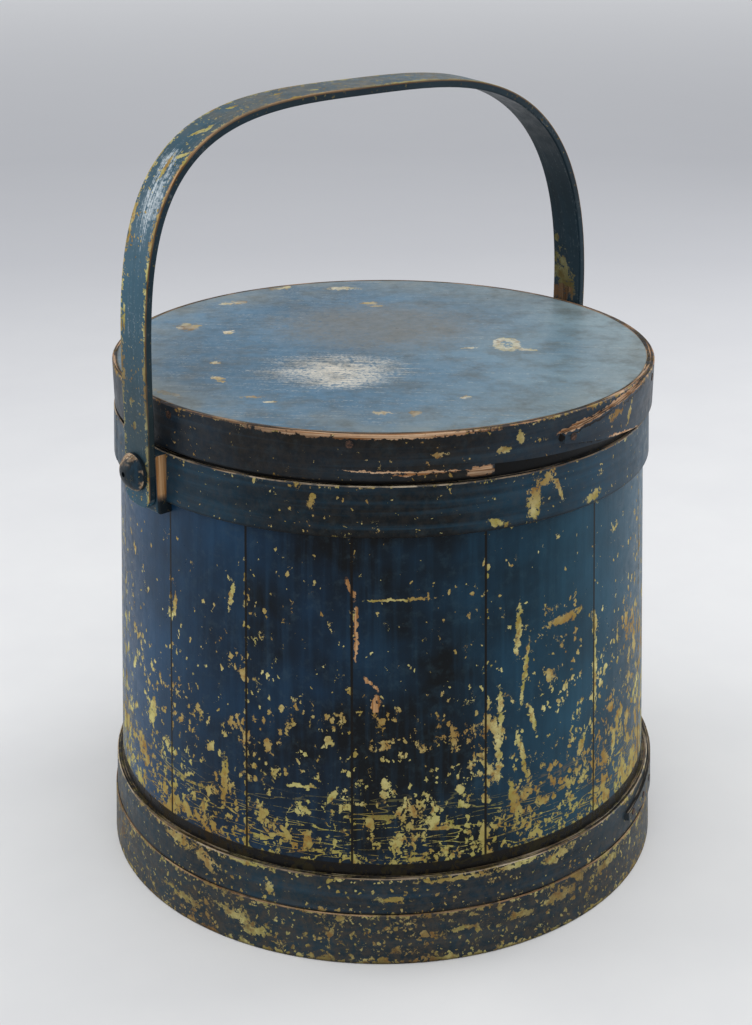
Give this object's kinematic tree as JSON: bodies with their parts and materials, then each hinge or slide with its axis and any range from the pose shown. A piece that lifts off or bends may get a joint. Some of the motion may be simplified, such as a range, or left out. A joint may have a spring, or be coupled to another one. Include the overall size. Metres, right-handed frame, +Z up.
{
  "type": "staved wooden pail with lid",
  "caption": "Tapered round staved pail bound with lapped wooden hoops, a hooped lift-off lid and a bent wooden strap bail that swings on two pegs.",
  "frame": {"origin": "centre of the foot, on the surface the pail stands on", "axes": "+Z up, +X along the two pegs, -Y the front; the peg axis lies a little behind the middle"},
  "size_m": [0.3846, 0.3736, 0.5038],
  "materials": {
    "painted_wood": "worn matt oil paint",
    "bare_wood": "planed, unpainted, darkened with age",
    "peg_wood": "turned, paint mostly worn away",
    "iron": "rusted wrought iron"
  },
  "bodies": {
    "pail": {"stave_01": "painted_wood", "stave_02": "painted_wood", "stave_03": "painted_wood", "stave_04": "painted_wood", "stave_05": "painted_wood", "stave_06": "painted_wood", "stave_07": "painted_wood", "stave_08": "painted_wood", "stave_09": "painted_wood", "stave_10": "painted_wood", "stave_11": "painted_wood", "stave_12": "painted_wood", "stave_13": "painted_wood", "stave_14": "painted_wood", "stave_15": "painted_wood", "bottom_board_front": "bare_wood", "bottom_board_rear": "bare_wood", "foot_hoop": "painted_wood", "lower_hoop": "painted_wood", "upper_hoop": "painted_wood", "foot_hoop_tacks": "iron", "lower_hoop_tacks": "iron", "upper_hoop_tacks": "iron", "peg_left": "peg_wood", "peg_right": "peg_wood", "lug_left": "painted_wood", "lug_right": "painted_wood"},
    "lid": {"lid_board": "painted_wood", "lid_hoop": "painted_wood", "lid_tacks": "iron"},
    "bail": {"bail": "painted_wood"}
  },
  "joints": [
    {"name": "bail_swing", "type": "hinge", "parent": "pail", "child": "bail", "pos_m": [0, 0.0084, 0.294], "axis": [1, 0, 0], "range_deg": [-118, 105]},
    {"name": "lid_lift", "type": "slide", "parent": "pail", "child": "lid", "axis": [0, 0, 1], "range_m": [0, 0.035]}
  ]
}
